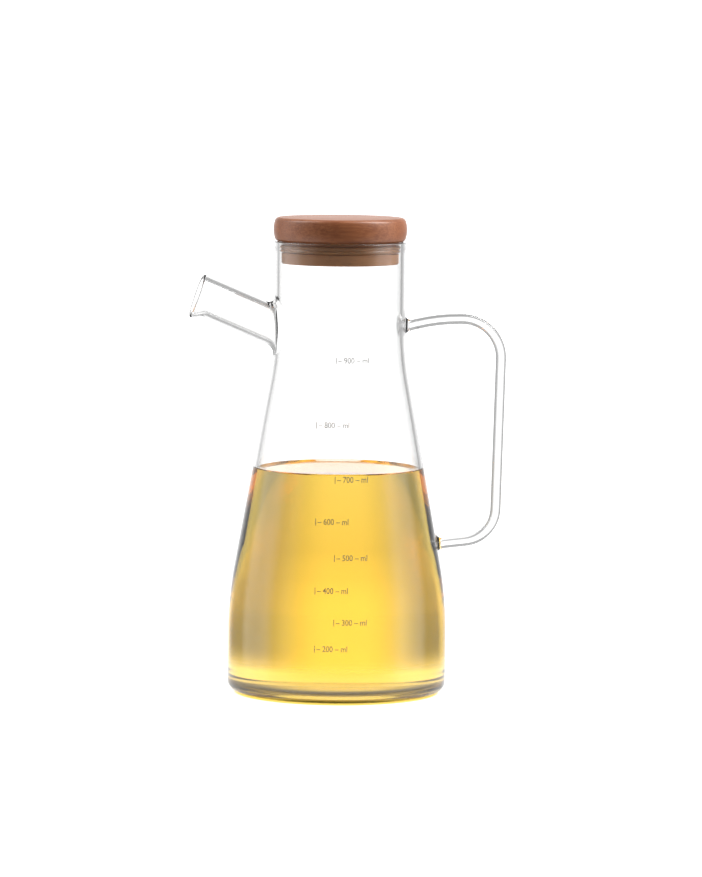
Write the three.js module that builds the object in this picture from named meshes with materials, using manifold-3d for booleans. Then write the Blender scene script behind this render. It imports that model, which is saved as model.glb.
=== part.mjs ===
// Oil jug: a conical body with a side spout and a rod handle, fused as one piece of clear glass,
// part filled with oil and closed by a turned wooden lid whose plug carries a soft sealing ring.
// Millimetres, +Z up. The origin is the centre of the flat base, on the jug's axis.
// The spout points along -X and the handle along +X.

import * as THREE from "three";
import { mergeVertices } from "three/addons/utils/BufferGeometryUtils.js";
import Module from "manifold-3d";

// Glass body, from the base up
const WALL = 2.2;
const BASE_THICKNESS = 3.4;
const BASE_RADIUS = 52.5;
const BASE_OUTER_ROUNDING = 5;
const BASE_INNER_ROUNDING = 4;
const SHOULDER_HEIGHT = 44.8; // where the straight foot would meet the cone
const SHOULDER_ROUNDING = 170;
const NECK_HEIGHT = 161.8; // where the cone would meet the straight neck
const NECK_ROUNDING = 120;
const NECK_RADIUS = 31.4;
const RIM_HEIGHT = 216.3;
const RIM_FLARE = 0.4;
const RIM_FLARE_LENGTH = 5;
const RIM_ROUNDING = 1;

// Spout
const SPOUT_ANGLE = THREE.MathUtils.degToRad(23.2); // above the horizontal
const SPOUT_ROOT_HEIGHT = 175.9; // where its axis leaves the neck
const SPOUT_LENGTH = 40.3;
const SPOUT_RADIUS = 9.3;
const SPOUT_WALL = 1.9;
const SPOUT_INNER_REACH = 14; // how far the drilled core runs back into the neck
const SPOUT_MOUTH_OVERRUN = 2; // how far it runs past the mouth
const SPOUT_RING_STEP = 2;
const ROOT_FLARE = 3.2; // how far the fused root swells along the neck
const ROOT_FLARE_LENGTH = 5;
const LIP_LENGTH = 8;
const LIP_REACH = 3; // how far the pouring lip turns down
const MOUTH_LEAN = THREE.MathUtils.degToRad(4.5); // the mouth's upper edge reaches further out

// Handle
const ROD_RADIUS = 2.5;
const HANDLE_TOP_HEIGHT = 175.4;
const HANDLE_FOOT_HEIGHT = 70.5;
const HANDLE_ARCH = [48, 179.3, 90]; // corners as x, z and rounding
const HANDLE_SHOULDER = [79.1, 179, 19];
const HANDLE_HEEL = [76.4, 73.3, 16];
const PAD_RADIUS = 5.6; // the fused pad that spreads each end of the rod onto the wall
const PAD_SINK = 1;
const PAD_RISE = 1;
const PAD_ROUNDING = 4;
const PAD_TIP_RADIUS = 1.9; // the pad's tip runs out inside the rod
const PAD_LENGTH = 5;
const PAD_TOP_SLOPE = THREE.MathUtils.degToRad(7); // between the wall's normal and the rod's own slope
const PAD_FOOT_SLOPE = THREE.MathUtils.degToRad(8);

// Oil, lid and sealing ring
const FIT_GAP = 0.3;
const OIL_LEVEL = 107;
const LID_UNDERSIDE = RIM_HEIGHT + FIT_GAP;
const LID_THICKNESS = 11.2;
const LID_EDGE_RADIUS = 31; // at its top and bottom edges
const LID_BULGE_RADIUS = 32.4; // before the bulge is rounded
const LID_BULGE_ROUNDING = 12;
const LID_EDGE_ROUNDING = 2.2;
const PLUG_RADIUS = 28;
const PLUG_DEPTH = 10.8;
const PLUG_ROUNDING = 0.8;
const GROOVE_RADIUS = 26.4;
const GROOVE_DROP = 1.2; // from the lid's underside to the groove
const GROOVE_WIDTH = 4.2;
const RING_ROUNDING = 0.7;

// Facets
const BODY_SIDES = 64;
const LID_SIDES = 48;
const SPOUT_SIDES = 28;
const ROD_SIDES = 12;
const ROD_STEPS = 44;
const ARC_STEPS = 3; // along each rounding of a turned outline
const BEND_STEPS = 6; // along each bend of the handle

const wasm = await Module();
wasm.setup();

// An outline through corners of x, y and rounding radius, with each rounding drawn as an arc.
function roundedOutline(corners, arcSteps = ARC_STEPS) {
  const points = [];
  corners.forEach(([x, y, radius], i) => {
    const corner = new THREE.Vector2(x, y);
    if (!radius) {
      points.push(corner);
      return;
    }
    const toBefore = new THREE.Vector2(corners[i - 1][0] - x, corners[i - 1][1] - y).normalize();
    const toAfter = new THREE.Vector2(corners[i + 1][0] - x, corners[i + 1][1] - y).normalize();
    const half = Math.acos(toBefore.dot(toAfter)) / 2;
    const turn = (Math.PI - 2 * half) * Math.sign(toAfter.cross(toBefore));
    const start = corner.clone().addScaledVector(toBefore, radius / Math.tan(half));
    const middle = toBefore.clone().add(toAfter).normalize();
    const centre = corner.clone().addScaledVector(middle, radius / Math.sin(half));
    for (let step = 0; step <= arcSteps; step++) {
      points.push(start.clone().rotateAround(centre, (turn * step) / arcSteps));
    }
  });
  return points;
}

// A closed geometry as a solid that can be joined and cut.
function solidOf(geometry) {
  const bare = new THREE.BufferGeometry();
  bare.setAttribute("position", geometry.getAttribute("position"));
  bare.setIndex(geometry.getIndex());
  const merged = mergeVertices(bare);
  const index = merged.getIndex().array;
  const faces = [];
  for (let i = 0; i < index.length; i += 3) {
    const [a, b, c] = [index[i], index[i + 1], index[i + 2]];
    const collapsed = a === b || b === c || c === a; // a pole of a turned shape
    if (!collapsed) faces.push(a, b, c);
  }
  const vertProperties = merged.getAttribute("position").array;
  return new wasm.Manifold(
    new wasm.Mesh({ numProp: 3, vertProperties, triVerts: new Uint32Array(faces) }),
  );
}

function geometryOf(solid) {
  const { vertProperties, triVerts } = solid.getMesh();
  const geometry = new THREE.BufferGeometry();
  geometry.setAttribute("position", new THREE.BufferAttribute(vertProperties, 3));
  geometry.setIndex(new THREE.BufferAttribute(triVerts, 1));
  geometry.computeVertexNormals();
  return geometry;
}

// A shape turned about +Z from an outline of radius and height that runs up its outside.
function turned(points, sides) {
  return new THREE.LatheGeometry(points, sides).rotateX(Math.PI / 2);
}

// Points a shape that was turned about +Z along a direction, from a place.
function aimed(geometry, direction, place) {
  const turn = new THREE.Quaternion().setFromUnitVectors(new THREE.Vector3(0, 0, 1), direction);
  return geometry.applyQuaternion(turn).translate(...place.toArray());
}

// Corners of the body's outline, drawn in by an inset, from a floor up to the foot of the neck.
function bodyCorners(inset, floor, rounding) {
  return [
    [0, floor],
    [BASE_RADIUS - inset, floor, rounding],
    [BASE_RADIUS - inset, SHOULDER_HEIGHT, SHOULDER_ROUNDING],
    [NECK_RADIUS - inset, NECK_HEIGHT, NECK_ROUNDING],
  ];
}

function coneRadius(height, inset) {
  const share = (height - SHOULDER_HEIGHT) / (NECK_HEIGHT - SHOULDER_HEIGHT);
  return THREE.MathUtils.lerp(BASE_RADIUS, NECK_RADIUS, share) - inset;
}

// Body wall: up the outside, over the rim and down the inside.
function bodyWall() {
  const corners = [
    ...bodyCorners(0, 0, BASE_OUTER_ROUNDING),
    [NECK_RADIUS, RIM_HEIGHT - RIM_FLARE_LENGTH],
    [NECK_RADIUS + RIM_FLARE, RIM_HEIGHT, RIM_ROUNDING],
    [NECK_RADIUS - WALL, RIM_HEIGHT, RIM_ROUNDING],
    ...bodyCorners(WALL, BASE_THICKNESS, BASE_INNER_ROUNDING).reverse(),
  ];
  return solidOf(turned(roundedOutline(corners), BODY_SIDES));
}

// All that lies inside the middle of the wall: what is fused on from outside stops there.
function wallCore() {
  const corners = [
    ...bodyCorners(WALL / 2, BASE_THICKNESS / 2, BASE_INNER_ROUNDING),
    [NECK_RADIUS - WALL / 2, RIM_HEIGHT],
    [0, RIM_HEIGHT],
  ];
  return solidOf(turned(roundedOutline(corners), BODY_SIDES));
}

// A round bar along the spout's axis, with a swollen root where it meets the neck and a mouth
// whose lower edge turns down into a pouring lip.
function spoutBar(radius, start, end, rootFlare) {
  const axis = new THREE.Vector3(-Math.cos(SPOUT_ANGLE), 0, Math.sin(SPOUT_ANGLE));
  const up = new THREE.Vector3(Math.sin(SPOUT_ANGLE), 0, Math.cos(SPOUT_ANGLE));
  const root = new THREE.Vector3(-NECK_RADIUS, 0, SPOUT_ROOT_HEIGHT);
  const rings = Math.ceil((end - start) / SPOUT_RING_STEP);
  const outline = [new THREE.Vector2(0, start)];
  for (let ring = 0; ring <= rings; ring++) {
    outline.push(new THREE.Vector2(radius, THREE.MathUtils.lerp(start, end, ring / rings)));
  }
  outline.push(new THREE.Vector2(0, end));
  const geometry = aimed(turned(outline, SPOUT_SIDES), axis, root);

  const points = geometry.getAttribute("position");
  const point = new THREE.Vector3();
  for (let i = 0; i < points.count; i++) {
    point.fromBufferAttribute(points, i).sub(root);
    const along = point.dot(axis);
    const outward = point.clone().addScaledVector(axis, -along);
    const rise = outward.dot(up);
    const offWall = along - rise * Math.tan(SPOUT_ANGLE);
    const nearWall = 1 - THREE.MathUtils.clamp(offWall / ROOT_FLARE_LENGTH, 0, 1);
    const nearMouth = THREE.MathUtils.smoothstep(along, SPOUT_LENGTH - LIP_LENGTH, SPOUT_LENGTH);
    const below = Math.max(0, -rise / radius);
    point.addScaledVector(outward, (rootFlare / radius) * nearWall ** 2);
    point.addScaledVector(axis, rise * Math.tan(MOUTH_LEAN) * nearMouth);
    point.addScaledVector(up, -LIP_REACH * nearMouth * below ** 2);
    point.add(root);
    points.setXYZ(i, point.x, point.y, point.z);
  }
  return solidOf(geometry);
}

// The handle's rod, along its bends from the neck to the cone.
function handleRod() {
  const corners = [
    [NECK_RADIUS - WALL / 2, HANDLE_TOP_HEIGHT],
    HANDLE_ARCH,
    HANDLE_SHOULDER,
    HANDLE_HEEL,
    [coneRadius(HANDLE_FOOT_HEIGHT, WALL / 2), HANDLE_FOOT_HEIGHT],
  ];
  const bends = roundedOutline(corners, BEND_STEPS).map(({ x, y }) => new THREE.Vector3(x, 0, y));
  const path = new THREE.CurvePath();
  bends.slice(1).forEach((bend, i) => path.add(new THREE.LineCurve3(bends[i], bend)));
  const section = new THREE.Shape();
  section.absarc(0, 0, ROD_RADIUS, 0, 2 * Math.PI);
  return solidOf(
    new THREE.ExtrudeGeometry(section, {
      steps: ROD_STEPS,
      curveSegments: ROD_SIDES / 2, // a full circle takes two a segment
      extrudePath: path,
    }),
  );
}

// The pad at one end of the rod, from a place on the wall along a slope.
function handlePad(radius, height, slope) {
  const direction = new THREE.Vector3(Math.cos(slope), 0, Math.sin(slope));
  const outline = roundedOutline([
    [0, -PAD_SINK],
    [PAD_RADIUS, -PAD_SINK],
    [ROD_RADIUS, PAD_RISE, PAD_ROUNDING],
    [PAD_TIP_RADIUS, PAD_LENGTH],
    [0, PAD_LENGTH],
  ]);
  const place = new THREE.Vector3(radius, 0, height);
  return solidOf(aimed(turned(outline, 2 * ROD_SIDES), direction, place));
}

function glassJug() {
  const footRadius = coneRadius(HANDLE_FOOT_HEIGHT, 0);
  const fusedOn = spoutBar(SPOUT_RADIUS, -SPOUT_INNER_REACH, SPOUT_LENGTH, ROOT_FLARE)
    .add(handleRod())
    .add(handlePad(NECK_RADIUS, HANDLE_TOP_HEIGHT, PAD_TOP_SLOPE))
    .add(handlePad(footRadius, HANDLE_FOOT_HEIGHT, PAD_FOOT_SLOPE))
    .subtract(wallCore());
  const bore = spoutBar(
    SPOUT_RADIUS - SPOUT_WALL,
    -SPOUT_INNER_REACH,
    SPOUT_LENGTH + SPOUT_MOUTH_OVERRUN,
    0,
  );
  return geometryOf(bodyWall().add(fusedOn).subtract(bore));
}

function oilFill() {
  const inset = WALL + FIT_GAP;
  const floor = BASE_THICKNESS + FIT_GAP;
  const corners = [
    ...bodyCorners(inset, floor, BASE_INNER_ROUNDING).slice(0, -1),
    [coneRadius(OIL_LEVEL, inset), OIL_LEVEL],
    [0, OIL_LEVEL],
  ];
  return geometryOf(solidOf(turned(roundedOutline(corners), BODY_SIDES)));
}

// Lid: plug with its ring groove below, a disc with a bulging edge above.
function woodenLid() {
  const grooveTop = LID_UNDERSIDE - GROOVE_DROP;
  const grooveFoot = grooveTop - GROOVE_WIDTH;
  const lidTop = LID_UNDERSIDE + LID_THICKNESS;
  const corners = [
    [0, LID_UNDERSIDE - PLUG_DEPTH],
    [PLUG_RADIUS, LID_UNDERSIDE - PLUG_DEPTH, PLUG_ROUNDING],
    [PLUG_RADIUS, grooveFoot],
    [GROOVE_RADIUS, grooveFoot],
    [GROOVE_RADIUS, grooveTop],
    [PLUG_RADIUS, grooveTop],
    [PLUG_RADIUS, LID_UNDERSIDE],
    [LID_EDGE_RADIUS, LID_UNDERSIDE, LID_EDGE_ROUNDING],
    [LID_BULGE_RADIUS, LID_UNDERSIDE + LID_THICKNESS / 2, LID_BULGE_ROUNDING],
    [LID_EDGE_RADIUS, lidTop, LID_EDGE_ROUNDING],
    [0, lidTop],
  ];
  return geometryOf(solidOf(turned(roundedOutline(corners), LID_SIDES)));
}

function sealingRing() {
  const top = LID_UNDERSIDE - GROOVE_DROP - FIT_GAP;
  const foot = LID_UNDERSIDE - GROOVE_DROP - GROOVE_WIDTH + FIT_GAP;
  const inner = GROOVE_RADIUS + FIT_GAP;
  const outer = NECK_RADIUS - WALL - FIT_GAP;
  const corners = [
    [inner, foot],
    [outer, foot, RING_ROUNDING],
    [outer, top, RING_ROUNDING],
    [inner, top],
    [inner, foot],
  ];
  return geometryOf(solidOf(turned(roundedOutline(corners), LID_SIDES)));
}

const finishes = {
  glass: { color: 0xf3f7f6, roughness: 0.03, metalness: 0, transparent: true, opacity: 0.35 },
  oil: { color: 0xf5c832, roughness: 0.05, metalness: 0, transparent: true, opacity: 0.8 },
  wood: { color: 0x8a5a3c, roughness: 0.45, metalness: 0 },
  seal: { color: 0xe6d9cc, roughness: 0.35, metalness: 0, transparent: true, opacity: 0.7 },
};

function piece(name, geometry, finish) {
  const mesh = new THREE.Mesh(geometry, new THREE.MeshStandardMaterial(finishes[finish]));
  mesh.name = name;
  return mesh;
}

const jug = new THREE.Group();
jug.add(piece("glass_jug", glassJug(), "glass"));
jug.add(piece("oil_fill", oilFill(), "oil"));

const stopper = new THREE.Group();
stopper.add(piece("wooden_lid", woodenLid(), "wood"));
stopper.add(piece("sealing_ring", sealingRing(), "seal"));
jug.add(stopper);

export default jug;
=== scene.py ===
"""Oil jug of clear glass with a side spout and a rod handle, golden oil and a turned wooden lid."""

import math

import bmesh
import bpy
from bpy.props import FloatProperty, FloatVectorProperty, IntProperty, PointerProperty
from bpy.types import Operator, Panel, PropertyGroup
from mathutils import Matrix, Quaternion, Vector
from mathutils.bvhtree import BVHTree


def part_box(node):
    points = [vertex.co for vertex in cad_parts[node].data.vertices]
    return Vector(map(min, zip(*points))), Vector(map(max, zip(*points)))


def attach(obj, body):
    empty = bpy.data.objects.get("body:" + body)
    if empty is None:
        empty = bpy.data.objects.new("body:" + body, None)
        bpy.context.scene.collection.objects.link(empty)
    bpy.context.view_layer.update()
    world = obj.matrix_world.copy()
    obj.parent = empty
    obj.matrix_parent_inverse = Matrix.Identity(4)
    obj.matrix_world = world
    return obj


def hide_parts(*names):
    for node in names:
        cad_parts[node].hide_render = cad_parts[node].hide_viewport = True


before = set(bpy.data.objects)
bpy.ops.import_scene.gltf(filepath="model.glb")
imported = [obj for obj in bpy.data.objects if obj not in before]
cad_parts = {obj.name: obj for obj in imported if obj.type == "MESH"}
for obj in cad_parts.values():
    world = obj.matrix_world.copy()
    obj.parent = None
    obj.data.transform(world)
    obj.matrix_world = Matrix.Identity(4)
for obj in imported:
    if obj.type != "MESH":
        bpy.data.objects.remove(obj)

bl_info = {
    "name": "Oil Jug",
    "version": (1, 0, 0),
    "blender": (4, 5, 0),
    "location": "3D View > Sidebar > Oil Jug",
    "description": "Builds a glass oil jug with its oil, wooden lid, sealing ring and volume marks",
    "category": "Object",
}

MM = 0.001
VIEW_TURN = 8
CLEAR_IOR = 1.47
SHARP_CORNER = math.radians(50)
LIGHT_BOUNCES = 32
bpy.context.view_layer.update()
GLASS_LOW, GLASS_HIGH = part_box("glass_jug")
OIL_LOW, OIL_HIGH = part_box("oil_fill")
LID_LOW, LID_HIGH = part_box("wooden_lid")
RING_LOW, RING_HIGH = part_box("sealing_ring")


def length(name, default, description):
    """A length property, in metres."""
    return FloatProperty(
        name=name, description=description, default=default, precision=5, unit="LENGTH"
    )


def angle(name, degrees, description):
    """An angle property, shown in degrees."""
    return FloatProperty(
        name=name, description=description, default=math.radians(degrees), subtype="ANGLE"
    )


def amount(name, default, description):
    """A plain number property."""
    return FloatProperty(name=name, description=description, default=default)


def colour(name, default, description):
    """A linear colour property."""
    return FloatVectorProperty(
        name=name, description=description, default=default, size=3, min=0, max=1, subtype="COLOR"
    )


def bend(name, default, description):
    """A bend of the handle as its corner's x and z and its rounding."""
    return FloatVectorProperty(
        name=name, description=description, default=default, size=3, precision=5, unit="LENGTH"
    )


class GlassSettings(PropertyGroup):
    """Sizes of the glass body, its spout and its handle"""

    wall: length("Wall", 2.2 * MM, "Thickness of the body's wall")
    base_thickness: length("Base", 2.6 * MM, "Thickness of the base")
    base_radius: length("Base radius", GLASS_HIGH.y, "Outer radius of the foot")
    base_rounding: length("Base rounding", 5 * MM, "Rounding of the foot's outer edge")
    inner_rounding: length("Inner rounding", 4 * MM, "Rounding inside the foot")
    shoulder_height: length("Shoulder", 44.8 * MM, "Height where the foot would meet the cone")
    shoulder_rounding: length("Shoulder rounding", 170 * MM, "Rounding from foot to cone")
    neck_height: length("Neck", 161.8 * MM, "Height where the cone would meet the neck")
    neck_rounding: length("Neck rounding", 120 * MM, "Rounding from cone to neck")
    neck_radius: length("Neck radius", 31.4 * MM, "Outer radius of the straight neck")
    rim_height: length("Rim", GLASS_HIGH.z, "Height of the rim")
    rim_flare: length("Rim flare", 0.4 * MM, "How far the rim opens outwards")
    rim_flare_length: length("Rim flare length", 5 * MM, "Height over which the rim opens")
    spout_slope: angle("Spout slope", 23.2, "Slope of the spout above the horizontal")
    spout_height: length("Spout height", 175.9 * MM, "Height where the spout leaves the neck")
    spout_length: length("Spout length", 40.3 * MM, "Length of the spout along its axis")
    spout_radius: length("Spout radius", 9.3 * MM, "Outer radius of the spout")
    spout_wall: length("Spout wall", 1.9 * MM, "Thickness of the spout's wall")
    spout_fillet: length("Spout fillet", 5 * MM, "Length over which the spout's root turns")
    spout_spread: length("Spout spread", 5 * MM, "How far the spout's root spreads on the neck")
    spout_lift: amount("Spout lift", 0.1, "How much more it spreads above than below")
    lip_length: length("Lip length", 8 * MM, "Length of the turned pouring lip")
    lip_drop: length("Lip drop", 3 * MM, "How far the pouring lip turns down")
    mouth_lean: angle("Mouth lean", 4.5, "How far the mouth's upper edge leans out")
    rod_radius: length("Rod radius", 2.5 * MM, "Radius of the handle's rod")
    rod_top: length("Rod top", 175.4 * MM, "Height where the rod leaves the neck")
    rod_foot: length("Rod foot", 70.5 * MM, "Height where the rod meets the cone")
    rod_fillet: length("Rod fillet", 4.2 * MM, "Length over which the rod's ends turn")
    rod_spread: length("Rod spread", 4.4 * MM, "How far the rod's ends spread on the wall")
    rod_lift: amount("Rod lift", 0.45, "How much more they spread above than below")
    arch: bend("Arch", (48 * MM, 179.3 * MM, 90 * MM), "Bend after the rod leaves the neck")
    corner: bend("Corner", (79.1 * MM, 179 * MM, 19 * MM), "Upper outer bend of the rod")
    heel: bend("Heel", (76.4 * MM, 73.3 * MM, 16 * MM), "Lower outer bend of the rod")
    sides: IntProperty(name="Sides", description="Facets round the body", default=192)


class OilSettings(PropertyGroup):
    """Level and colour of the oil"""

    level: length("Level", OIL_HIGH.z, "Height of the oil's surface")
    into_wall: length("Into wall", 0.35 * MM, "How far the oil reaches into the wall")
    into_base: length("Into base", 2.2 * MM, "How far the oil reaches into the base")
    climb: length("Climb", 1 * MM, "How far the oil's edge climbs the glass")
    climb_width: length("Climb width", 2.2 * MM, "How wide the climbing edge is")
    tint: colour("Tint", (0.991, 0.86, 0.2), "What the oil lets through")
    density: amount("Density", 34, "How strongly the oil absorbs, per metre")


class LidSettings(PropertyGroup):
    """Sizes and colours of the turned lid and its ring"""

    underside: length("Underside", GLASS_HIGH.z + 0.06 * MM, "Height of the disc's underside")
    edge_radius: length("Edge radius", 31 * MM, "Radius at the disc's upper and lower edges")
    bulge: length("Bulge", 1.4 * MM, "How far the disc's side bulges before it is rounded")
    bulge_rounding: length("Bulge rounding", 12 * MM, "Rounding of the disc's side")
    edge_rounding: length("Edge rounding", 2.2 * MM, "Rounding of the disc's edges")
    plug_radius: length("Plug radius", 28 * MM, "Radius of the plug in the neck")
    plug_rounding: length("Plug rounding", 0.8 * MM, "Rounding of the plug's lower edge")
    groove_depth: length("Groove depth", 1.6 * MM, "Depth of the ring's groove")
    groove_gap: length("Groove gap", 0.3 * MM, "Gap between the ring and its groove")
    ring_swell: length("Ring swell", 0.25 * MM, "How far the ring's ribs stand out to the glass")
    dark: colour("Dark grain", (0.28, 0.083, 0.026), "Colour of the dark grain")
    light: colour("Light grain", (0.43, 0.146, 0.052), "Colour of the light grain")
    # painted light: the plug's lighter colour stands in for light on the plug, which the disc shades
    bare_plug_painted_light: colour("Raw wood", (0.78, 0.38, 0.17), "Colour of the bare wood of the plug")


class MarkSettings(PropertyGroup):
    """Sizes of the printed volume scale"""

    digit_size: length("Digit size", 3.9 * MM, "Type size of the numbers")
    width: length("Width", 14.6 * MM, "Width of one mark's words")
    facing: angle("Facing", VIEW_TURN, "How far the print faces round towards the spout")
    left_column: length("Left column", -2 * MM, "Where the marks of even hundreds are centred")
    right_column: length("Right column", 7 * MM, "Where the marks of odd hundreds are centred")
    lift: length("Lift", 0.04 * MM, "How far the print stands on the glass")
    ink: colour("Ink", (0.19, 0.18, 0.15), "Colour of the print")
    weight: length("Weight", 0.06 * MM, "How much the letters are thickened")
    cover: amount("Cover", 0.7, "How well the print covers")


class StageSettings(PropertyGroup):
    """Camera, floor and light"""

    distance: length("Distance", 2.47, "Distance of the camera")
    lens: amount("Lens", 211.2, "Focal length in millimetres")
    turn: angle("Turn", VIEW_TURN, "How far the camera stands round towards the spout")
    pitch: angle("Pitch", 5.15, "How far the camera looks down")
    roll: angle("Roll", 0.53, "How far the camera is turned about its axis")
    aim_across: length("Aim across", 6 * MM, "How far right of the jug's axis the camera aims")
    aim_height: length("Aim height", 121.7 * MM, "Height at which the camera aims")
    floor_radius: length("Floor radius", 0.19, "Radius at which the floor has faded out")
    # painted light: the golden glow painted on the floor round the jug's foot
    painted_caustic_colour: colour("Floor tint", (1, 0.72, 0.12), "Colour of the light that falls through the jug")
    floor_drop: length("Floor drop", 0.3 * MM, "How far the floor lies below the jug's foot")
    painted_caustic_shift: length("Tint shift", 3 * MM, "How far that light falls towards the camera")
    floor_glow: amount("Floor glow", 1.05, "Brightness of the floor")
    backdrop: amount("Backdrop", 1.5, "Brightness behind the jug")
    backdrop_turn: angle("Backdrop turn", 3, "How far left of the camera's axis it is brightest")
    room: amount("Room", 0.43, "Brightness of the room round it")
    side_light: amount("Side light", 0.8, "How much brighter the two side lights are than the room")
    left_top: amount("Left light's top", 4, "How much brighter the left light's upper part is")
    right_top: amount("Right light's top", 11, "How much brighter the right light's upper part is")
    table: amount("Table", 1.3, "Brightness low at the sides")
    front: amount("Front", 0.14, "Brightness behind the camera")


class Value:
    """A shader socket on which arithmetic adds Math nodes."""

    def __init__(self, shader, socket):
        self.shader = shader
        self.socket = socket

    def math(self, operation, *others):
        """One Math node on this value and the others."""
        operands = dict(enumerate((self, *others)))
        return self.shader.add("ShaderNodeMath", {"operation": operation}, operands)

    def flipped(self, operation, other):
        """A Math node with a plain number in front."""
        return self.shader.add("ShaderNodeMath", {"operation": operation}, {0: other, 1: self})

    def __add__(self, other):
        return self.math("ADD", other)

    def __sub__(self, other):
        return self.math("SUBTRACT", other)

    def __rsub__(self, other):
        return self.flipped("SUBTRACT", other)

    def __mul__(self, other):
        return self.math("MULTIPLY", other)

    def __truediv__(self, other):
        return self.math("DIVIDE", other)

    __radd__ = __add__
    __rmul__ = __mul__

    def step(self, low, high):
        """A smooth step from 0 at low to 1 at high."""
        sockets = {"Value": self, "From Min": low, "From Max": high}
        return self.shader.add("ShaderNodeMapRange", {"interpolation_type": "SMOOTHSTEP"}, sockets)

    def output(self, name):
        """Another output of the same node."""
        return Value(self.shader, self.socket.node.outputs[name])


class Shader:
    """A node tree that is filled by expressions."""

    def __init__(self, tree):
        self.tree = tree
        tree.nodes.clear()

    def add(self, kind, settings=None, sockets=None, output=0):
        """Adds a node with its settings, then its socket values or links, and gives an output."""
        node = self.tree.nodes.new(kind)
        for name, value in (settings or {}).items():
            setattr(node, name, value)
        for name, value in (sockets or {}).items():
            if isinstance(value, Value):
                self.tree.links.new(value.socket, node.inputs[name])
            else:
                node.inputs[name].default_value = value
        return Value(self, node.outputs[output]) if len(node.outputs) else None

    def mix(self, factor, first, second):
        """A colour between two colours."""
        return self.add(
            "ShaderNodeMix", {"data_type": "RGBA"}, {0: factor, 6: first, 7: second}, output=2
        )

    def place(self, scale=(1, 1, 1)):
        """Object coordinates, stretched by a scale."""
        position = self.add("ShaderNodeTexCoord", output="Object")
        return self.add("ShaderNodeMapping", None, {"Vector": position, "Scale": scale})

    def noise(self, place, scale, detail=2.0, roughness=0.5):
        """A noise value at a place."""
        sockets = {"Vector": place, "Scale": scale, "Detail": detail, "Roughness": roughness}
        return self.add("ShaderNodeTexNoise", None, sockets, output="Fac")

    def reach(self, centre):
        """Distance from a point, in object coordinates."""
        return self.add(
            "ShaderNodeVectorMath",
            {"operation": "DISTANCE"},
            {0: self.place(), 1: centre},
            output="Value",
        )

    def bump(self, height, strength, distance):
        """A normal from a height."""
        sockets = {"Height": height, "Strength": strength, "Distance": distance}
        return self.add("ShaderNodeBump", None, sockets)


def opaque(values):
    """A colour with full alpha."""
    return (*values, 1.0)


def new_material(name):
    """A bare node material and its shader."""
    material = bpy.data.materials.new(name)
    material.use_nodes = True
    return material, Shader(material.node_tree)


def clear_glass():
    """Clear blown glass with a faint waviness."""
    material, shader = new_material("clear_glass")
    waves = shader.noise(shader.place((1, 1, 0.4)), 45, detail=1)
    surface = shader.add(
        "ShaderNodeBsdfPrincipled",
        None,
        {
            "Base Color": (1, 1, 1, 1),
            "Roughness": 0.0,
            "IOR": CLEAR_IOR,
            "Transmission Weight": 1.0,
            "Normal": shader.bump(waves, 0.15, 0.4 * MM),
        },
    )
    shader.add("ShaderNodeOutputMaterial", None, {"Surface": surface})
    return material


def golden_oil(oil):
    """Clear oil that takes its colour from its depth."""
    material, shader = new_material("golden_oil")
    surface = shader.add(
        "ShaderNodeBsdfPrincipled",
        None,
        {
            "Base Color": (1, 1, 1, 1),
            "Roughness": 0.0,
            "IOR": CLEAR_IOR,
            "Transmission Weight": 1.0,
        },
    )
    body = shader.add(
        "ShaderNodeVolumeAbsorption", None, {"Color": opaque(oil.tint), "Density": oil.density}
    )
    shader.add("ShaderNodeOutputMaterial", None, {"Surface": surface, "Volume": body})
    return material


def lacquered_wood(lid):
    """Brown wood under satin lacquer, with its grain along the spout and handle. The plug below the
    disc is bare wood, and its lighter colour is painted light where the disc shades it.
    """
    material, shader = new_material("lacquered_wood")
    figure = shader.noise(shader.place((0.1, 1, 1)), 220, detail=3)
    streaks = shader.noise(shader.place((0.03, 1, 1)), 1300, detail=3, roughness=0.6)
    pores = shader.noise(shader.place((0.06, 1, 1)), 2600, detail=1).step(0.62, 0.72)
    grain = (figure * 0.35 + streaks * 0.65).step(0.32, 0.68)
    wood = shader.mix(grain, opaque(lid.dark), opaque(lid.light))
    below = shader.add("ShaderNodeSeparateXYZ", None, {"Vector": shader.place()}, output="Z")
    # painted light: below the disc's underside the wood loses its lacquer and turns lighter, the
    # lighter colour standing in for light where the disc shades the plug
    bare_plug_painted_light = 1 - below.step(lid.underside - 0.4 * MM, lid.underside)
    body = shader.mix(bare_plug_painted_light * 0.75, wood, opaque(lid.bare_plug_painted_light))
    shade = shader.mix(pores * 0.3, body, opaque(lid.dark))
    surface = shader.add(
        "ShaderNodeBsdfPrincipled",
        None,
        {
            "Base Color": shade,
            "Roughness": streaks * 0.12 + 0.36,
            "Coat Weight": 0.3 - bare_plug_painted_light * 0.3,
            "Coat Roughness": 0.25,
            "Normal": shader.bump(streaks - pores * 0.5, 0.2, 0.05 * MM),
        },
    )
    shader.add("ShaderNodeOutputMaterial", None, {"Surface": surface})
    return material


def soft_silicone():
    """Half-clear silicone whose colour is painted light: the lit orange of the wood behind it, painted
    in.
    """
    material, shader = new_material("soft_silicone")
    cloud = shader.noise(shader.place(), 300, detail=2)
    surface = shader.add(
        "ShaderNodeBsdfPrincipled",
        None,
        {
            # painted light: the orange of the lit wood seen through the ring is painted into its colour
            "Base Color": shader.mix(cloud, (0.7, 0.33, 0.13, 1), (0.82, 0.42, 0.19, 1)),
            "Roughness": cloud * 0.1 + 0.1,
            "IOR": 1.41,
            "Transmission Weight": 0.35,
        },
    )
    shader.add("ShaderNodeOutputMaterial", None, {"Surface": surface})
    return material


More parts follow.
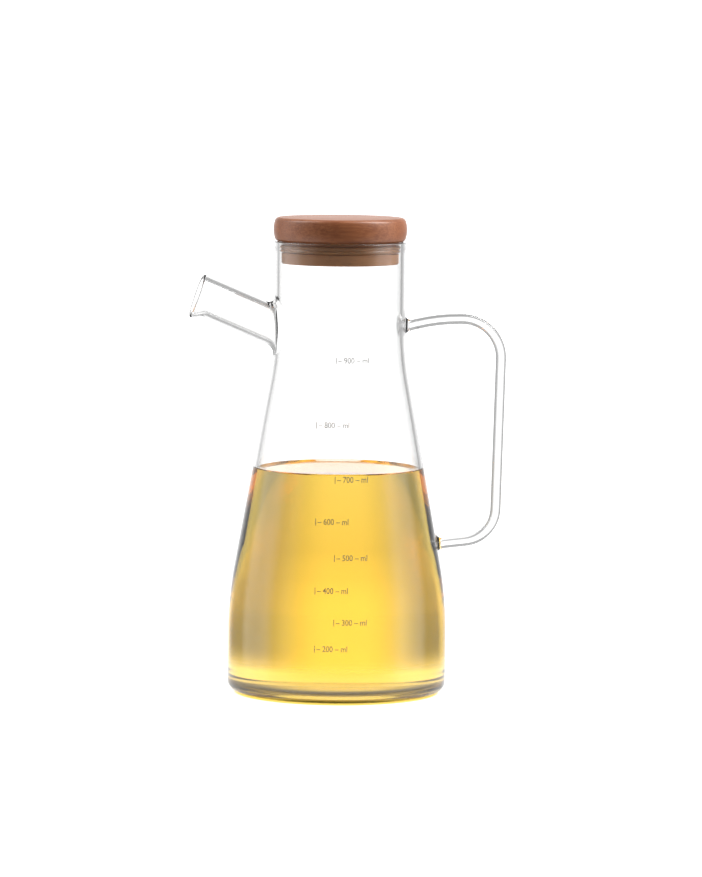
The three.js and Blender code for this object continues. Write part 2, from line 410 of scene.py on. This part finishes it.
def grey_print(marks):
    """Thin grey print that lets some light through, a little worn."""
    material, shader = new_material("grey_print")
    wear = shader.noise(shader.place(), 1500, detail=2)
    surface = shader.add(
        "ShaderNodeBsdfPrincipled",
        None,
        {
            "Base Color": opaque(marks.ink),
            "Roughness": 0.6,
            "Alpha": wear.step(0.2, 0.6) * 0.3 + (marks.cover - 0.15),
        },
    )
    shader.add("ShaderNodeOutputMaterial", None, {"Surface": surface})
    return material


def pale_floor(stage):
    """Pale board with a faint tooth, which fades out round its edge; under the oil its glow is golden,
    a painted pool of the light that falls through the jug.
    """
    material, shader = new_material("pale_floor")
    reach = shader.reach(Vector())
    towards_camera = Matrix.Rotation(-stage.turn, 3, "Z") @ Vector((0, -stage.painted_caustic_shift, 0))
    beside = shader.reach(towards_camera).step(GLASS_HIGH.y - 5 * MM, GLASS_HIGH.y - 2 * MM)
    tooth = shader.noise(shader.place(), 900, detail=2)
    board = shader.add(
        "ShaderNodeBsdfPrincipled",
        None,
        {
            "Base Color": shader.mix(tooth, (0.3, 0.3, 0.3, 1), (0.34, 0.34, 0.34, 1)),
            "Roughness": 0.7,
            # painted light: a golden glow near the jug stands in for the light that the oil casts on
            # the floor
            "Emission Color": shader.mix(beside, opaque(stage.painted_caustic_colour), (1, 1, 1, 1)),
            "Emission Strength": stage.floor_glow,
        },
    )
    clear = shader.add("ShaderNodeBsdfTransparent")
    fade = (reach / stage.floor_radius).step(0.4, 1)
    surface = shader.add("ShaderNodeMixShader", None, {0: fade, 1: board, 2: clear})
    shader.add("ShaderNodeOutputMaterial", None, {"Surface": surface})
    return material


def studio_room(stage):
    """A plain studio: a bright backdrop, a dimmer room, and a tall soft light at each side."""
    world = bpy.data.worlds.new("studio")
    world.use_nodes = True
    shader = Shader(world.node_tree)
    direction = shader.add("ShaderNodeTexCoord", output="Generated")
    facing = {"Vector": direction, "Rotation": (0, 0, stage.turn)}
    ahead = shader.add("ShaderNodeMapping", None, facing)
    across = shader.add("ShaderNodeSeparateXYZ", None, {"Vector": ahead}, output="X")
    depth, height = across.output("Y"), across.output("Z")
    right = across.math("ARCTAN2", depth) * math.degrees(1)
    up = height.math("ARCSINE") * math.degrees(1)
    away = (right + math.degrees(stage.backdrop_turn)).math("ABSOLUTE")
    backdrop = (1 - away.step(4, 38.5)) * up.step(-28, -8) * (1 - up.step(7, 17))
    left_light = (1 - right.step(-68, -56)) * right.step(-112, -92)
    right_light = right.step(66, 80) * (1 - right.step(102, 122))
    low = up.step(-30, -15) * (1 - up.step(22, 38)) * stage.side_light
    high = up.step(22, 38) * (1 - up.step(65, 80))
    sides = left_light * (low + high * stage.left_top) + right_light * (low + high * stage.right_top)
    table = (1 - up.step(-30, -14)) * away.step(40, 60) * (1 - away.step(125, 150))
    behind = away.step(115, 140)
    light = stage.room + backdrop * (stage.backdrop - stage.room) + sides
    light = light + table * (stage.table - stage.room) + behind * (stage.front - stage.room)
    sky = shader.add("ShaderNodeBackground", None, {"Color": (1, 1, 1, 1), "Strength": light})
    shader.add("ShaderNodeOutputWorld", None, {"Surface": sky})
    return world


def draw_outline(bm, corners, segments, closed=False):
    """Draws straight runs through corners of radius, height and rounding, and rounds them."""
    verts = [bm.verts.new((x, 0, z)) for x, z, _ in corners]
    for first, second in zip(verts, verts[1:]):
        bm.edges.new((first, second))
    if closed:
        bm.edges.new((verts[-1], verts[0]))
    points = [vert.co.copy() for vert in verts]
    for i, (vert, (_, _, rounding)) in enumerate(zip(verts, corners)):
        if not rounding:
            continue
        before = points[i - 1] - points[i]
        after = points[(i + 1) % len(points)] - points[i]
        bmesh.ops.bevel(
            bm,
            geom=[vert],
            offset=rounding / math.tan(before.angle(after) / 2),
            offset_type="OFFSET",
            segments=segments,
            profile=0.5,
            affect="VERTICES",
            material=-1,
        )


def split_runs(bm, longest):
    """Splits every edge that is longer than a limit."""
    for edge in bm.edges[:]:
        cuts = int(edge.calc_length() / longest)
        if cuts:
            bmesh.ops.subdivide_edges(bm, edges=[edge], cuts=cuts)


def turn_solid(bm, sides):
    """Turns the outline about the upright axis into a closed solid."""
    bmesh.ops.spin(
        bm,
        geom=bm.verts[:] + bm.edges[:],
        cent=(0, 0, 0),
        axis=(0, 0, 1),
        angle=math.tau,
        steps=sides,
        use_merge=True,
    )
    bmesh.ops.remove_doubles(bm, verts=bm.verts[:], dist=1e-6)
    bmesh.ops.recalc_face_normals(bm, faces=bm.faces[:])


def turned(corners, sides, segments, longest=None, closed=False):
    """A solid turned from an outline."""
    bm = bmesh.new()
    draw_outline(bm, corners, segments, closed)
    if longest:
        split_runs(bm, longest)
    turn_solid(bm, sides)
    return bm


def new_ring(bm, sides, radius, matrix):
    """A circle of edges, facing along a matrix's Z."""
    made = bmesh.ops.create_circle(bm, segments=sides, radius=radius, matrix=matrix)
    verts = set(made["verts"])
    return [edge for edge in bm.edges if verts.issuperset(edge.verts)]


def ring_verts(ring):
    """The vertices of a ring of edges."""
    return list({vert for edge in ring for vert in edge.verts})


def grow(bm, ring):
    """Extrudes a ring in place and gives the new ring."""
    made = bmesh.ops.extrude_edge_only(bm, edges=ring)["geom"]
    return [part for part in made if isinstance(part, bmesh.types.BMEdge) and part.is_boundary]


def grow_by(bm, ring, shift, scale=1.0):
    """Extrudes a ring, scales it about the Z axis and moves it."""
    ring = grow(bm, ring)
    verts = ring_verts(ring)
    if scale != 1.0:
        bmesh.ops.scale(bm, vec=(scale, scale, 1), verts=verts)
    bmesh.ops.translate(bm, vec=shift, verts=verts)
    return ring


def close(bm, ring):
    """Closes a ring with one face."""
    bmesh.ops.edgeloop_fill(bm, edges=ring)


def body_corners(glass, inset, floor, rounding):
    """Corners of the body's outline, drawn in by an inset, from a floor to the neck's foot."""
    return [
        (0, floor, 0),
        (glass.base_radius - inset, floor, rounding),
        (glass.base_radius - inset, glass.shoulder_height, glass.shoulder_rounding),
        (glass.neck_radius - inset, glass.neck_height, glass.neck_rounding),
    ]


def cone_radius(glass, height):
    """Outer radius of the cone at a height."""
    share = (height - glass.shoulder_height) / (glass.neck_height - glass.shoulder_height)
    return glass.base_radius + (glass.neck_radius - glass.base_radius) * share


RIM_ROUNDING = 0.2


def body_wall(glass):
    """Foot, cone and neck: up the outside, over the rim and down the inside."""
    rim_rounding = RIM_ROUNDING * glass.wall
    inside = body_corners(glass, glass.wall, glass.base_thickness, glass.inner_rounding)
    corners = [
        *body_corners(glass, 0, 0, glass.base_rounding),
        (glass.neck_radius, glass.rim_height - glass.rim_flare_length, 0),
        (glass.neck_radius + glass.rim_flare, glass.rim_height, rim_rounding),
        (glass.neck_radius - glass.wall, glass.rim_height, rim_rounding),
        *reversed(inside),
    ]
    return turned(corners, glass.sides, segments=10, longest=2 * MM)


def wall_surface(glass, inset):
    """A search tree of the body's surface at an inset from its outside."""
    corners = [
        *body_corners(glass, inset, 0, 0),
        (glass.neck_radius - inset, glass.rim_height, 0),
    ]
    bm = turned(corners, glass.sides, segments=10)
    tree = BVHTree.FromBMesh(bm)
    bm.free()
    return tree


ROOT_STEPS = 9
ROOT_SINK = 0.06 * MM


def meet(wall, point, towards):
    """Where a line meets a wall, and the wall's normal there, against the line."""
    spot, normal, _, _ = wall.ray_cast(point, towards)
    return spot, normal if normal.dot(towards) < 0 else -normal


def spread_root(bm, ring, towards, wall, fillet, spread, depth, lift=0.0):
    """Runs the open end of a rod or tube out onto a wall and closes it a depth behind that.
    Each of its lines turns over a fillet's length to meet the wall flat, a spread further out.
    A lift spreads it more above than below."""
    middle = sum((vert.co for vert in ring_verts(ring)), Vector()) / len(ring)
    curves = {}
    for vert in ring_verts(ring):
        outward = (vert.co - middle).normalized()
        corner, normal = meet(wall, vert.co, towards)
        along_wall = (outward - normal * outward.dot(normal)).normalized()
        above = corner + along_wall * spread * (1 + lift * outward.z) + normal * spread
        foot, foot_normal = meet(wall, above, -normal)
        curves[vert] = (corner - towards * fillet, corner, foot - foot_normal * ROOT_SINK, foot_normal)

    def next_ring(ring):
        ring = grow(bm, ring)
        for vert in ring_verts(ring):
            grown_from = next(e.other_vert(vert) for e in vert.link_edges if e not in ring)
            curves[vert] = curves[grown_from]
        return ring

    for step in range(ROOT_STEPS + 1):
        share = step / ROOT_STEPS
        ring = next_ring(ring)
        for vert in ring_verts(ring):
            start, corner, foot, _ = curves[vert]
            vert.co = start.lerp(corner, share).lerp(corner.lerp(foot, share), share)
    ring = next_ring(ring)
    for vert in ring_verts(ring):
        _, _, foot, normal = curves[vert]
        vert.co = foot - normal * depth
    close(bm, ring)


SPOUT_SIDES = 72
SPOUT_RING = 12 * MM
LIP_STEPS = 10
MOUTH_STEPS = 4
MOUTH_ROUNDING = 0.45


def spout_axes(glass):
    """Turns the spout's own axes, X up, Y across and Z along it, into the jug's."""
    rise, run = math.sin(glass.spout_slope), math.cos(glass.spout_slope)
    along = Vector((-run, 0, rise))
    up = Vector((rise, 0, run))
    axes = Matrix((up, along.cross(up), along)).transposed().to_4x4()
    return Matrix.Translation((-glass.neck_radius, 0, glass.spout_height)) @ axes


def turn_lip(bm, glass):
    """Leans the spout's mouth and turns its lower edge down, in the spout's own axes."""
    start = glass.spout_length - glass.lip_length
    for vert in bm.verts:
        share = min(max((vert.co.z - start) / glass.lip_length, 0), 1)
        share = share * share * (3 - 2 * share)
        below = max(0, -vert.co.x / vert.co.xy.length)
        vert.co.z += vert.co.x * math.tan(glass.mouth_lean) * share
        vert.co.x -= glass.lip_drop * share * below**2


def spout_tube(bm, glass, radius, lip):
    """An open tube along the spout to the end of a lip. Gives its first and last rings."""
    first = new_ring(bm, SPOUT_SIDES, radius, Matrix.Translation((0, 0, SPOUT_RING)))
    straight = glass.spout_length - glass.lip_length - SPOUT_RING
    last = grow_by(bm, first, Vector((0, 0, straight)))
    for _ in range(LIP_STEPS):
        last = grow_by(bm, last, Vector((0, 0, lip / LIP_STEPS)))
    return first, last


def place_spout(bm, glass, first, inset, wider, depth):
    """Turns the lip, puts the spout in its place and spreads its root onto the wall at an inset."""
    turn_lip(bm, glass)
    axes = spout_axes(glass)
    bmesh.ops.transform(bm, matrix=axes, verts=bm.verts[:])
    spread_root(
        bm,
        first,
        -axes.col[2].to_3d(),
        wall_surface(glass, inset),
        glass.spout_fillet + wider,
        glass.spout_spread + wider,
        depth,
        glass.spout_lift,
    )
    bmesh.ops.recalc_face_normals(bm, faces=bm.faces[:])


def spout_bar(glass):
    """The spout's outside as a solid bar, spread onto the neck."""
    bm = bmesh.new()
    first, mouth = spout_tube(bm, glass, glass.spout_radius, glass.lip_length)
    close(bm, mouth)
    bmesh.ops.bevel(
        bm,
        geom=mouth,
        offset=MOUTH_ROUNDING * glass.spout_wall,
        segments=MOUTH_STEPS,
        profile=0.5,
        affect="EDGES",
        material=-1,
    )
    place_spout(bm, glass, first, 0, 0, glass.wall / 2)
    return bm


def spout_bore(glass):
    """What is cut out of the spout, from its spread inside the neck to past the rounded mouth."""
    bm = bmesh.new()
    radius = glass.spout_radius - glass.spout_wall
    rounding = MOUTH_ROUNDING * glass.spout_wall
    first, ring = spout_tube(bm, glass, radius, glass.lip_length - rounding)
    turns = [math.pi / 2 * step / MOUTH_STEPS for step in range(MOUTH_STEPS + 1)]
    widths = [radius + rounding * (1 - math.cos(turn)) for turn in turns]
    heights = [rounding * math.sin(turn) for turn in turns]
    for step in range(MOUTH_STEPS):
        rise = heights[step + 1] - heights[step]
        ring = grow_by(bm, ring, Vector((0, 0, rise)), widths[step + 1] / widths[step])
    ring = grow_by(bm, ring, Vector((0, 0, 2 * rounding)))
    close(bm, ring)
    place_spout(bm, glass, first, glass.wall, glass.spout_wall, glass.wall)
    return bm


ROD_SIDES = 36
ROD_CLEAR = 7 * MM
BEND_STEP = math.radians(4)


def handle_rod(glass):
    """The handle: straight runs and bends of one rod, its ends spread onto the wall."""
    bm = bmesh.new()
    top = Vector((glass.neck_radius, 0, glass.rod_top))
    foot = Vector((cone_radius(glass, glass.rod_foot), 0, glass.rod_foot))
    bends = [(Vector((x, 0, z)), rounding) for x, z, rounding in (glass.arch, glass.corner, glass.heel)]
    points = [top, *(point for point, _ in bends), foot]
    heading = (points[1] - top).normalized()
    place = top + heading * ROD_CLEAR
    upright = heading.to_track_quat("Z", "Y").to_matrix().to_4x4()
    first = new_ring(bm, ROD_SIDES, glass.rod_radius, Matrix.Translation(place) @ upright)
    ring = first
    for (corner, rounding), after in zip(bends, points[2:]):
        leaving = (after - corner).normalized()
        turn = heading.angle(leaving)
        bend_start = corner - heading * rounding * math.tan(turn / 2)
        ring = grow_by(bm, ring, bend_start - place)
        axis = heading.cross(leaving).normalized()
        steps = math.ceil(turn / BEND_STEP)
        bent = bmesh.ops.spin(
            bm,
            geom=ring,
            cent=bend_start + axis.cross(heading) * rounding,
            axis=axis,
            angle=turn,
            steps=steps,
        )["geom_last"]
        ring = [part for part in bent if isinstance(part, bmesh.types.BMEdge)]
        place = corner + leaving * rounding * math.tan(turn / 2)
        heading = leaving
    ring = grow_by(bm, ring, foot - heading * ROD_CLEAR - place)
    wall = wall_surface(glass, 0)
    for end, towards in ((ring, heading), (first, (top - points[1]).normalized())):
        spread_root(
            bm, end, towards, wall, glass.rod_fillet, glass.rod_spread, glass.wall / 2, glass.rod_lift
        )
    bmesh.ops.recalc_face_normals(bm, faces=bm.faces[:])
    return bm


def new_object(name, bm, material=None):
    """Puts a bmesh into a linked object with smooth faces."""
    mesh = bpy.data.meshes.new(name)
    bm.to_mesh(mesh)
    bm.free()
    mesh.shade_smooth()
    if material:
        mesh.materials.append(material)
    piece = bpy.data.objects.new(name, mesh)
    bpy.context.scene.collection.objects.link(piece)
    return piece


def combine(piece, tool, operation):
    """Joins a tool's solid to a piece, or cuts it out, and removes the tool."""
    modifier = piece.modifiers.new("combine", "BOOLEAN")
    modifier.operation = operation
    modifier.solver = "MANIFOLD"
    modifier.object = tool
    shaped = piece.evaluated_get(bpy.context.evaluated_depsgraph_get())
    mesh = bpy.data.meshes.new_from_object(shaped)
    piece.modifiers.clear()
    spare = [piece.data, tool.data]
    piece.data = mesh
    bpy.data.objects.remove(tool)
    for old in spare:
        bpy.data.meshes.remove(old)


def seat(piece, node):
    """Puts a piece in the place of its CAD node."""
    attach(piece, "root")
    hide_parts(node)


class OILJUG_OT_glass(Operator):
    """Make the glass body with its spout and handle, fused into one"""

    bl_idname = "oil_jug.glass"
    bl_label = "Glass jug"

    def execute(self, context):
        glass = context.scene.oil_jug_glass
        jug = new_object("clear_glass_jug", body_wall(glass), clear_glass())
        combine(jug, new_object("spout", spout_bar(glass)), "UNION")
        combine(jug, new_object("rod", handle_rod(glass)), "UNION")
        combine(jug, new_object("bore", spout_bore(glass)), "DIFFERENCE")
        jug.data.name = jug.name
        jug.data.shade_smooth()
        jug.data.set_sharp_from_angle(angle=SHARP_CORNER)
        seat(jug, "glass_jug")
        return {"FINISHED"}


class OILJUG_OT_oil(Operator):
    """Fill the jug with oil that wets the glass and climbs a little at its edge"""

    bl_idname = "oil_jug.oil"
    bl_label = "Oil"

    def execute(self, context):
        glass = context.scene.oil_jug_glass
        oil = context.scene.oil_jug_oil
        inset = glass.wall - oil.into_wall
        floor = glass.base_thickness - oil.into_base
        edge = cone_radius(glass, oil.level + oil.climb) - inset
        shore = cone_radius(glass, oil.level) - glass.wall - oil.climb_width
        corners = [
            *body_corners(glass, inset, floor, glass.inner_rounding)[:-1],
            (edge, oil.level + oil.climb, 0),
            (shore, oil.level, oil.climb_width),
            (0, oil.level, 0),
        ]
        fill = new_object("golden_oil", turned(corners, glass.sides, 10), golden_oil(oil))
        fill.data.set_sharp_from_angle(angle=SHARP_CORNER)
        seat(fill, "oil_fill")
        return {"FINISHED"}


LID_SIDES = 160


class OILJUG_OT_lid(Operator):
    """Turn the wooden lid: a disc with a bulging side and a plug with a groove"""

    bl_idname = "oil_jug.lid"
    bl_label = "Wooden lid"

    def execute(self, context):
        lid = context.scene.oil_jug_lid
        groove = lid.plug_radius - lid.groove_depth
        groove_foot = RING_LOW.z - lid.groove_gap
        groove_top = RING_HIGH.z + lid.groove_gap
        middle = (lid.underside + LID_HIGH.z) / 2
        corners = [
            (0, LID_LOW.z, 0),
            (lid.plug_radius, LID_LOW.z, lid.plug_rounding),
            (lid.plug_radius, groove_foot, lid.groove_gap),
            (groove, groove_foot, 0),
            (groove, groove_top, 0),
            (lid.plug_radius, groove_top, lid.groove_gap),
            (lid.plug_radius, lid.underside, 0),
            (lid.edge_radius, lid.underside, lid.edge_rounding),
            (lid.edge_radius + lid.bulge, middle, lid.bulge_rounding),
            (lid.edge_radius, LID_HIGH.z, lid.edge_rounding),
            (0, LID_HIGH.z, 0),
        ]
        disc = new_object("turned_lid", turned(corners, LID_SIDES, 8), lacquered_wood(lid))
        disc.data.set_sharp_from_angle(angle=math.radians(40))
        seat(disc, "wooden_lid")
        return {"FINISHED"}


class OILJUG_OT_ring(Operator):
    """Make the soft sealing ring with two ribs that press on the neck"""

    bl_idname = "oil_jug.ring"
    bl_label = "Sealing ring"

    def execute(self, context):
        glass = context.scene.oil_jug_glass
        lid = context.scene.oil_jug_lid
        inner = lid.plug_radius - lid.groove_depth - 0.05 * MM
        bore = glass.neck_radius - glass.wall
        rib = bore - 0.02 * MM
        valley = bore - 4 * lid.ring_swell
        low, high = RING_LOW.z, RING_HIGH.z
        rib_height = (high - low) / 2
        corners = [(inner, low, 0), (valley, low, 0)]
        for foot in (low, low + rib_height):
            corners.append((rib, foot + rib_height / 2, 0.6 * MM))
            corners.append((valley, foot + rib_height, 0))
        corners.append((inner, high, 0))
        ring = new_object("soft_ring", turned(corners, LID_SIDES, 6, closed=True), soft_silicone())
        seat(ring, "sealing_ring")
        return {"FINISHED"}


MARK_HEIGHTS = {
    200: 26.4 * MM,
    300: 38.9 * MM,
    400: 53.8 * MM,
    500: 69.1 * MM,
    600: 85.9 * MM,
    700: 105.6 * MM,
    800: 131 * MM,
    900: 161.3 * MM,
}
MARK_DASH = "–"


def flat_words(words, marks):
    """Words as a flat mesh, centred and scaled to a width."""
    type_set = bpy.data.curves.new("words", "FONT")
    type_set.body = words
    type_set.size = marks.digit_size
    type_set.align_x = "CENTER"
    type_set.align_y = "CENTER"
    type_set.resolution_u = 4
    type_set.offset = marks.weight
    sample = bpy.data.objects.new("words", type_set)
    bpy.context.scene.collection.objects.link(sample)
    shaped = sample.evaluated_get(bpy.context.evaluated_depsgraph_get())
    mesh = bpy.data.meshes.new_from_object(shaped)
    bpy.data.objects.remove(sample)
    bpy.data.curves.remove(type_set)
    across = [vert.co.x for vert in mesh.vertices]
    mesh.transform(Matrix.Diagonal((marks.width / (max(across) - min(across)), 1, 1, 1)))
    return mesh


def tick(bm, marks):
    """An upright tick left of the words."""
    width, height = 0.1 * marks.digit_size, 0.85 * marks.digit_size
    shape = Matrix.Diagonal((width, height, 1, 1))
    place = Matrix.Translation((-0.57 * marks.width, 0, 0))
    bmesh.ops.create_grid(bm, x_segments=1, y_segments=3, size=0.5, matrix=place @ shape)


class OILJUG_OT_marks(Operator):
    """Print the volume scale on the front of the glass"""

    bl_idname = "oil_jug.marks"
    bl_label = "Volume marks"

    def execute(self, context):
        marks = context.scene.oil_jug_marks
        glass = bpy.data.objects["clear_glass_jug"]
        wall = BVHTree.FromObject(glass, context.evaluated_depsgraph_get())
        facing = Matrix.Rotation(-marks.facing, 3, "Z")
        bm = bmesh.new()
        for volume, height in MARK_HEIGHTS.items():
            column = marks.right_column if volume // 100 % 2 else marks.left_column
            before = set(bm.verts)
            mesh = flat_words(f"{MARK_DASH} {volume} {MARK_DASH} ml", marks)
            bm.from_mesh(mesh)
            bpy.data.meshes.remove(mesh)
            tick(bm, marks)
            for vert in set(bm.verts) - before:
                across, up, _ = vert.co
                flat = Vector((across + column, 2 * GLASS_LOW.y, up + height))
                spot, normal, _, _ = wall.ray_cast(facing @ flat, facing @ Vector((0, 1, 0)))
                vert.co = spot + normal * marks.lift
        print_piece = new_object("volume_marks", bm, grey_print(marks))
        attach(print_piece, "root")
        return {"FINISHED"}


class OILJUG_OT_stage(Operator):
    """Set the floor, the light and the camera"""

    bl_idname = "oil_jug.stage"
    bl_label = "Stage"

    def execute(self, context):
        scene = context.scene
        stage = scene.oil_jug_stage
        bm = bmesh.new()
        turned_round = Matrix.Rotation(-stage.turn, 4, "Z")
        drop = Matrix.Translation((0, 0, -stage.floor_drop))
        bmesh.ops.create_circle(
            bm, cap_ends=True, segments=128, radius=stage.floor_radius, matrix=drop
        )
        new_object("floor", bm, pale_floor(stage))
        scene.world = studio_room(stage)

        camera = bpy.data.objects.new("camera", bpy.data.cameras.new("camera"))
        camera.data.lens = stage.lens
        aim = turned_round @ Vector((stage.aim_across, 0, stage.aim_height))
        ahead = turned_round @ Vector((0, math.cos(stage.pitch), -math.sin(stage.pitch)))
        camera.location = aim - ahead * stage.distance
        camera.rotation_mode = "QUATERNION"
        level = ahead.to_track_quat("-Z", "Y")
        camera.rotation_quaternion = level @ Quaternion((0, 0, 1), stage.roll)
        scene.collection.objects.link(camera)
        scene.camera = camera

        scene.view_settings.view_transform = "Standard"
        scene.cycles.max_bounces = LIGHT_BOUNCES
        scene.cycles.transmission_bounces = LIGHT_BOUNCES
        scene.cycles.transparent_max_bounces = LIGHT_BOUNCES // 2
        return {"FINISHED"}


PIECES = (
    OILJUG_OT_glass,
    OILJUG_OT_oil,
    OILJUG_OT_lid,
    OILJUG_OT_ring,
    OILJUG_OT_marks,
    OILJUG_OT_stage,
)


class OILJUG_PT_sidebar(Panel):
    """The jug's pieces, in the order in which they are made"""

    bl_label = "Oil Jug"
    bl_idname = "OILJUG_PT_sidebar"
    bl_space_type = "VIEW_3D"
    bl_region_type = "UI"
    bl_category = "Oil Jug"

    def draw(self, context):
        for piece in PIECES:
            self.layout.operator(piece.bl_idname)


SETTINGS = {
    "oil_jug_glass": GlassSettings,
    "oil_jug_oil": OilSettings,
    "oil_jug_lid": LidSettings,
    "oil_jug_marks": MarkSettings,
    "oil_jug_stage": StageSettings,
}


def register():
    for name, group in SETTINGS.items():
        bpy.utils.register_class(group)
        setattr(bpy.types.Scene, name, PointerProperty(type=group))
    for piece in (*PIECES, OILJUG_PT_sidebar):
        bpy.utils.register_class(piece)


def unregister():
    for piece in (OILJUG_PT_sidebar, *reversed(PIECES)):
        bpy.utils.unregister_class(piece)
    for name, group in reversed(SETTINGS.items()):
        delattr(bpy.types.Scene, name)
        bpy.utils.unregister_class(group)


def main():
    register()
    bpy.ops.oil_jug.glass()
    bpy.ops.oil_jug.oil()
    bpy.ops.oil_jug.lid()
    bpy.ops.oil_jug.ring()
    bpy.ops.oil_jug.marks()
    bpy.ops.oil_jug.stage()


if __name__ == "__main__":
    main()
